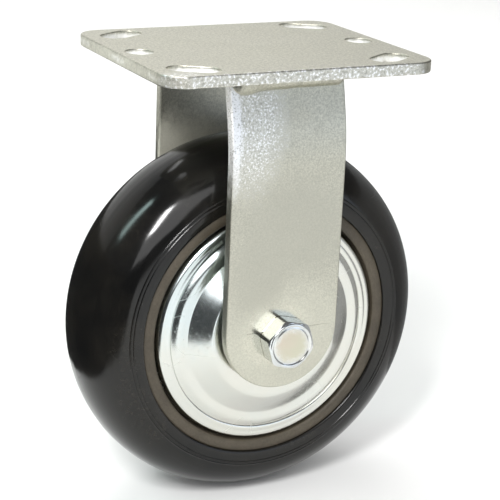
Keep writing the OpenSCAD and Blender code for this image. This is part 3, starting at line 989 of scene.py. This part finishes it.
class CASTOR_OT_nut(bpy.types.Operator):
    """Build the lock nut and its nylon ring"""

    bl_idname = "castor.nut"
    bl_label = "Lock nut"

    def execute(self, context):
        sizes = context.scene.castor_fastener
        end = NUT_HIGH.y
        shoulder = end - sizes.collar
        flat = sizes.across_flats * sizes.nut_rim
        bore, ring = sizes.bolt_radius + 0.00005, sizes.bolt_radius + sizes.nylon
        rings = hex_rings(LEG_FACE, shoulder, sizes, math.radians(12), flat)
        rings += [(flat, shoulder + 0.0001)]
        rolled = 0.0009
        for k in range(9):
            t = math.pi / 2 * k / 8
            rings.append((flat - rolled * (1 - math.cos(t)), end - rolled * (1 - math.sin(t))))
        rings += [(ring + 0.0001, end), (ring, end - 0.0001), (ring, shoulder)]
        rings += [(bore, shoulder), (bore, LEG_FACE)]
        mesh = mesh_from("nut_body", *turned(rings, HEX_STEPS, FAR), 24)
        finished_piece(mesh, "rig", "lock_nut", "bolt_zinc")
        gap = 0.00002
        low, high = shoulder + gap, end - 0.0006
        rings = [(ring - gap, low), (ring - gap, high - 0.0002), (ring - 0.0003, high)]
        rings += [(bore + 0.0004, high), (bore, high - 0.0004), (bore, low)]
        mesh = mesh_from("nylon_insert", *turned(rings, 96, FAR))
        finished_piece(mesh, "rig", "nut_nylon_ring", "nylon")
        return {"FINISHED"}


# The pressed line of the discs from the rolled edge to the boss: share of the way in to the boss, and share of
# the rise from the edge to the boss's top
PRESSED_LINE = (
    (0, -0.9), (0.01, -0.72), (0.045, -0.6), (0.05, -0.3), (0.056, -0.07), (0.085, 0.05),
    (0.15, 0.06), (0.21, 0.10), (0.25, 0.03), (0.29, 0.08), (0.375, 0.23), (0.467, 0.237),
    (0.55, 0.237), (0.6, 0.31), (0.766, 0.645), (0.92, 0.955), (0.955, 0.992), (1, 1),
)


class CASTOR_OT_hub_discs(bpy.types.Operator):
    """Build the two pressed and plated hub discs"""

    bl_idname = "castor.hub_discs"
    bl_label = "Hub discs"

    def execute(self, context):
        sizes = context.scene.castor_wheel
        sheet = sizes.sheet
        rim, edge = sizes.core_bore - sheet / 2, CORE_HIGH.y - sheet / 2
        boss, top = sizes.boss - sheet / 2, DISC_HIGH.y - sheet / 2
        knots = [(rim + share * (boss - rim), edge + rise * (top - edge)) for share, rise in PRESSED_LINE]
        knots += [(boss - step * sheet, top) for step in (0.6, 1.4, 2.5)]
        face = smooth_line(knots, 9)
        middle = np.vstack([[(rim, 0.0), (rim, knots[0][1])], face, [(sizes.bearing_seat, top)]])
        rings = np.vstack([beside(middle, -sheet / 2), beside(middle, sheet / 2)[::-1]])
        for name, side, node in (("near_disc", NEAR, "near_hub_disc"), ("far_disc", FAR, "far_hub_disc")):
            mesh = mesh_from(name, *turned(rings, sizes.segments, side), 40)
            finished_piece(mesh, "wheel", node, "disc_zinc")
        return {"FINISHED"}


class CASTOR_OT_core(bpy.types.Operator):
    """Build the moulded core ring under the tyre"""

    bl_idname = "castor.core"
    bl_label = "Core ring"

    def execute(self, context):
        sizes = context.scene.castor_wheel
        bore, outer, half = sizes.core_bore, CORE_HIGH.x, CORE_HIGH.y
        line = [(bore, half - 0.0012), (bore + 0.0001, half - 0.0006), (bore + 0.0006, half - 0.0001)]
        line += [(bore + 0.001, half), (bore + 0.0024, half), (outer - 0.0006, half - 0.00005)]
        line += [(outer - 0.0001, half - 0.0004), (outer, half - 0.0008)]
        rings = line + [(r, -w) for r, w in reversed(line)]
        mesh = mesh_from("core", *turned(rings, sizes.segments, FAR))
        finished_piece(mesh, "wheel", "core_ring", "core_resin")
        return {"FINISHED"}


class CASTOR_OT_tyre(bpy.types.Operator):
    """Build the glossy tyre with the thin lines that its mould leaves"""

    bl_idname = "castor.tyre"
    bl_label = "Tyre"

    def execute(self, context):
        sizes = context.scene.castor_wheel
        core, half = CORE_HIGH.x, TYRE_HIGH.y
        base = core + sizes.foot
        crown = TYRE_HIGH.x - base
        power_in, power_out = sizes.tread_power, 2 / sizes.tread_power
        # The side reaches up to this share of the crown's height, and the tread covers the rest
        side_share = 0.42
        lines = (base + 0.0022, base + 0.0036)

        def width_at(radius):
            if radius <= base:
                return half - 0.0004 * (base - radius) / sizes.foot
            return half * (1 - ((radius - base) / crown) ** power_in) ** (1 / power_in)

        near = [(core, half - 0.0011), (core + 0.0001, half - 0.0006), (core + 0.0004, half - 0.00038)]
        foot = np.linspace(core + 0.0009, base, 5)
        side = base + np.linspace(0.0002, crown * side_share, 72)
        for radius in np.concatenate([foot, side]):
            line = sum(max(0.0, 1 - ((radius - r) / sizes.line_height) ** 2) for r in lines)
            raised = line * sizes.line_height * 0.9 - (0.00002 if line else 0)
            near.append((radius, width_at(radius) + raised))
        tread = []
        start, steps, inset, seam_half = math.asin(side_share ** (1 / power_out)), 56, 0.00008, 0.0007
        for i in range(1, steps):
            t = start + (math.pi - 2 * start) * i / steps
            c = math.cos(t)
            width = math.copysign(half * abs(c) ** power_out, c)
            seam = inset * max(0.0, 1 - (width / seam_half) ** 2)
            tread.append((base + crown * math.sin(t) ** power_out - inset + seam, width))
        rings = near + tread + [(r, -w) for r, w in reversed(near)]
        mesh = mesh_from("tyre_body", *turned(rings, sizes.segments, FAR), 50)
        finished_piece(mesh, "wheel", "tyre", "tyre_rubber")
        return {"FINISHED"}


# Nodes of the frame that stay as they are, by their finishes
KEPT_NODES = {
    "hub_zinc": ("hub_tube",),
    "bushing_steel": ("axle_bushing", "near_end_collar", "far_end_collar"),
    "bearing_steel": (
        "near_inner_race", "far_inner_race", "near_outer_race", "far_outer_race", "near_balls", "far_balls",
    ),
    "cage_brass": ("near_cage", "far_cage"),
    "shield_steel": ("near_shield", "far_shield", "near_inside_shield", "far_inside_shield"),
}


class CASTOR_OT_bearings(bpy.types.Operator):
    """Give the hub tube, bushing and ball bearings their finishes"""

    bl_idname = "castor.bearings"
    bl_label = "Bearings and tube"

    def execute(self, context):
        for finish, nodes in KEPT_NODES.items():
            for name in nodes:
                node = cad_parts[name]
                for place in node.material_slots:
                    place.material = material(finish)
        return {"FINISHED"}


# Stage


def outward(azimuth, elevation):
    """A direction away from the wheel. Azimuth 0 is the near side, and a negative one is on its left."""
    level = math.cos(elevation)
    return Vector((math.sin(azimuth) * level, -math.cos(azimuth) * level, math.sin(elevation)))


def camera_axes(stage):
    """The camera's right, up and back directions."""
    back = outward(stage.azimuth, stage.elevation)
    level = Vector((0, 0, 1)).cross(back).normalized()
    up = back.cross(level)
    c, s = math.cos(stage.roll), math.sin(stage.roll)
    return c * level + s * up, -s * level + c * up, back


# Rectangular lights: the setting of their power, azimuth and elevation in degrees, distance from the wheel's
# middle, width and height, tone, and the direction in which they look if it isn't towards the wheel's middle
SOFTBOXES = {
    "key_softbox": ("key", -42, 40, 1.2, (0.14, 0.36), WHITE, None),
    "umbrella": ("umbrella", -24, 32, 1.4, (1.0, 0.9), WHITE, None),
    "overhead_softbox": ("overhead", 170, 64, 0.95, (0.7, 0.7), WHITE, None),
    "left_strip": ("side", -108, 42, 1.0, (0.12, 0.4), (0.75, 1.0, 0.97), None),
    "right_fill": ("fill", 30, 8, 1.5, (0.9, 0.6), (0.84, 0.95, 1.12), None),
    "backdrop_light": ("backdrop", 148, 48, 1.3, (1.6, 0.5), WHITE, (0.1, 0.75, -0.62)),
}


def add_softbox(name, watts, azimuth, elevation, distance, size, tone, look):
    """One of the rectangular lights."""
    back = outward(math.radians(azimuth), math.radians(elevation))
    data = bpy.data.lights.new(name, "AREA")
    data.shape = "RECTANGLE"
    data.size, data.size_y = size
    data.energy = watts
    data.color = tone
    lamp = linked(name, data)
    lamp.location = Vector((0, 0, AXLE_Z)) + back * distance
    lamp.rotation_mode = "QUATERNION"
    lamp.rotation_quaternion = (Vector(look) if look else -back).to_track_quat("-Z", "Y")


# The lines of three screens from above: azimuth in degrees and distance from the wheel's middle
LEFT_LINE = (
    (-22, 0.32), (-40, 0.222), (-53, 0.204), (-70, 0.180),
    (-90, 0.150), (-120, 0.140), (-150, 0.150), (-180, 0.17),
)
BACK_LINE = ((-180, 0.17), (-215, 0.17), (-235, 0.15))
RIGHT_LINE = ((-235, 0.15), (-250, 0.13), (-270, 0.135), (-285, 0.17), (-300, 0.25), (-310, 0.38))

# Screens round the object, seen only in its reflections: height, grey and line
FLAGS = {
    "left_flag": (0.137, 0.02, LEFT_LINE),
    "back_flag": (0.166, 0.02, BACK_LINE),
    "right_flag": (0.166, 0.27, RIGHT_LINE),
}


def add_flag(name, high, grey, line):
    """A curved screen of one grey that stands on the floor and casts no shadow."""
    points = []
    for azimuth, distance in line:
        a = math.radians(azimuth)
        x, y = distance * math.sin(a), -distance * math.cos(a)
        points += [(x, y, TYRE_LOW.z), (x, y, TYRE_LOW.z + high)]
    mesh = bpy.data.meshes.new(name)
    mesh.from_pydata(points, [], [(i, i + 2, i + 3, i + 1) for i in range(0, len(points) - 2, 2)])
    mesh.materials.append(Paint(name, Roughness=0.9, Base_Color=(grey, grey, grey, 1.0)).material)
    flag = linked(name, mesh)
    flag.visible_camera = False
    flag.visible_diffuse = False
    flag.visible_shadow = False


def add_floor(stage):
    """The floor, which curves up into the backdrop behind the object."""
    paint = Paint("pale_floor", Roughness=0.9, Specular_IOR_Level=0.1)
    stain = paint.use("smudges", Patches_per_metre=2.0)["Stain"]
    soft = paint.tree.times(stain, 0.04)
    paint.set(Base_Color=paint.tree.blend(soft, stage.floor, dimmed(stage.floor, 0.97)))
    floor_z, reach, bend_from, bend, rise, steps = TYRE_LOW.z - 0.0002, 3.0, 1.1, 0.9, 2.4, 24
    line = [(-reach, 0.0), (-1.0, 0.0), (0.3, 0.0), (bend_from, 0.0)]
    for i in range(1, steps + 1):
        t = math.pi / 2 * i / steps
        line.append((bend_from + bend * math.sin(t), bend * (1 - math.cos(t))))
    line.append((bend_from + bend, rise))
    points = [(x, y, floor_z + z) for x in (-reach, reach) for y, z in line]
    n = len(line)
    faces = [(i, i + n, i + n + 1, i + 1) for i in range(n - 1)]
    mesh = bpy.data.meshes.new("floor")
    mesh.from_pydata(points, [], faces)
    mesh.polygons.foreach_set("use_smooth", [True] * len(faces))
    mesh.materials.append(paint.material)
    floor = linked("floor", mesh)


def add_world(stage):
    """A pale backdrop for the camera, an even light on matt surfaces and dim surroundings in reflections."""
    world = bpy.data.worlds.new("studio")
    world.use_nodes = True
    t = Tree(world.node_tree)
    dim = world.node_tree.nodes["Background"]
    t.put(dim.inputs["Color"], (1.0, 0.99, 0.97, 1.0))
    t.put(dim.inputs["Strength"], stage.ambient)
    even = t.add("ShaderNodeBackground", {"Color": (1.0, 1.0, 0.99, 1.0), "Strength": stage.even})
    pale = t.add("ShaderNodeBackground", {"Color": (*WHITE, 1.0), "Strength": 1.0})
    ray = t.add("ShaderNodeLightPath").outputs
    matt = t.add("ShaderNodeMixShader", {0: ray["Is Diffuse Ray"], 1: dim.outputs[0], 2: even.outputs[0]})
    seen = t.add("ShaderNodeMixShader", {0: ray["Is Camera Ray"], 1: matt.outputs[0], 2: pale.outputs[0]})
    t.put(world.node_tree.nodes["World Output"].inputs["Surface"], seen.outputs[0])
    bpy.context.scene.world = world


class CASTOR_OT_stage(bpy.types.Operator):
    """Set the camera, the floor with its backdrop, and the lights"""

    bl_idname = "castor.stage"
    bl_label = "Stage"

    def execute(self, context):
        scene = context.scene
        stage = scene.castor_stage
        right, up, back = camera_axes(stage)
        data = bpy.data.cameras.new("camera")
        data.sensor_width = 36
        data.lens = stage.lens
        data.clip_start, data.clip_end = 0.02, 20
        camera = linked("camera", data)
        place = Vector((0, 0, AXLE_Z)) + right * stage.aside + up * stage.above + back * stage.distance
        turn = Matrix((right, up, back)).transposed().to_4x4()
        camera.matrix_world = Matrix.Translation(place) @ turn
        scene.camera = camera
        add_floor(stage)
        for name, (setting, *box) in SOFTBOXES.items():
            add_softbox(name, getattr(stage, setting), *box)
        for name, screen in FLAGS.items():
            add_flag(name, *screen)
        add_world(stage)
        scene.view_settings.view_transform = "Standard"
        return {"FINISHED"}


class CASTOR_PT_panel(bpy.types.Panel):
    """The castor's pieces and stage"""

    bl_idname = "CASTOR_PT_panel"
    bl_label = "Fixed castor"
    bl_space_type = "VIEW_3D"
    bl_region_type = "UI"
    bl_category = "Castor"

    def draw(self, context):
        for operator in PIECE_OPERATORS:
            self.layout.operator(operator.bl_idname)
        for group in GROUPS:
            settings = getattr(context.scene, group)
            box = self.layout.box()
            for name in GROUPS[group].__annotations__:
                box.prop(settings, name)


GROUPS = {
    "castor_sheet": CastorSheetSizes,
    "castor_fastener": CastorFastenerSizes,
    "castor_wheel": CastorWheelSizes,
    "castor_finishes": CastorFinishes,
    "castor_stage": CastorStageSettings,
}
PIECE_OPERATORS = (
    CASTOR_OT_top_plate,
    CASTOR_OT_legs,
    CASTOR_OT_welds,
    CASTOR_OT_bolt,
    CASTOR_OT_nut,
    CASTOR_OT_hub_discs,
    CASTOR_OT_core,
    CASTOR_OT_tyre,
    CASTOR_OT_bearings,
    CASTOR_OT_stage,
)
CLASSES = (*GROUPS.values(), *PIECE_OPERATORS, CASTOR_PT_panel)


def register():
    for item in CLASSES:
        bpy.utils.register_class(item)
    for name, group in GROUPS.items():
        setattr(bpy.types.Scene, name, PointerProperty(type=group))


def unregister():
    for name in GROUPS:
        delattr(bpy.types.Scene, name)
    for item in reversed(CLASSES):
        bpy.utils.unregister_class(item)


def main():
    register()
    make_materials()
    for operator in PIECE_OPERATORS:
        group, name = operator.bl_idname.split(".")
        getattr(getattr(bpy.ops, group), name)()


if __name__ == "__main__":
    main()
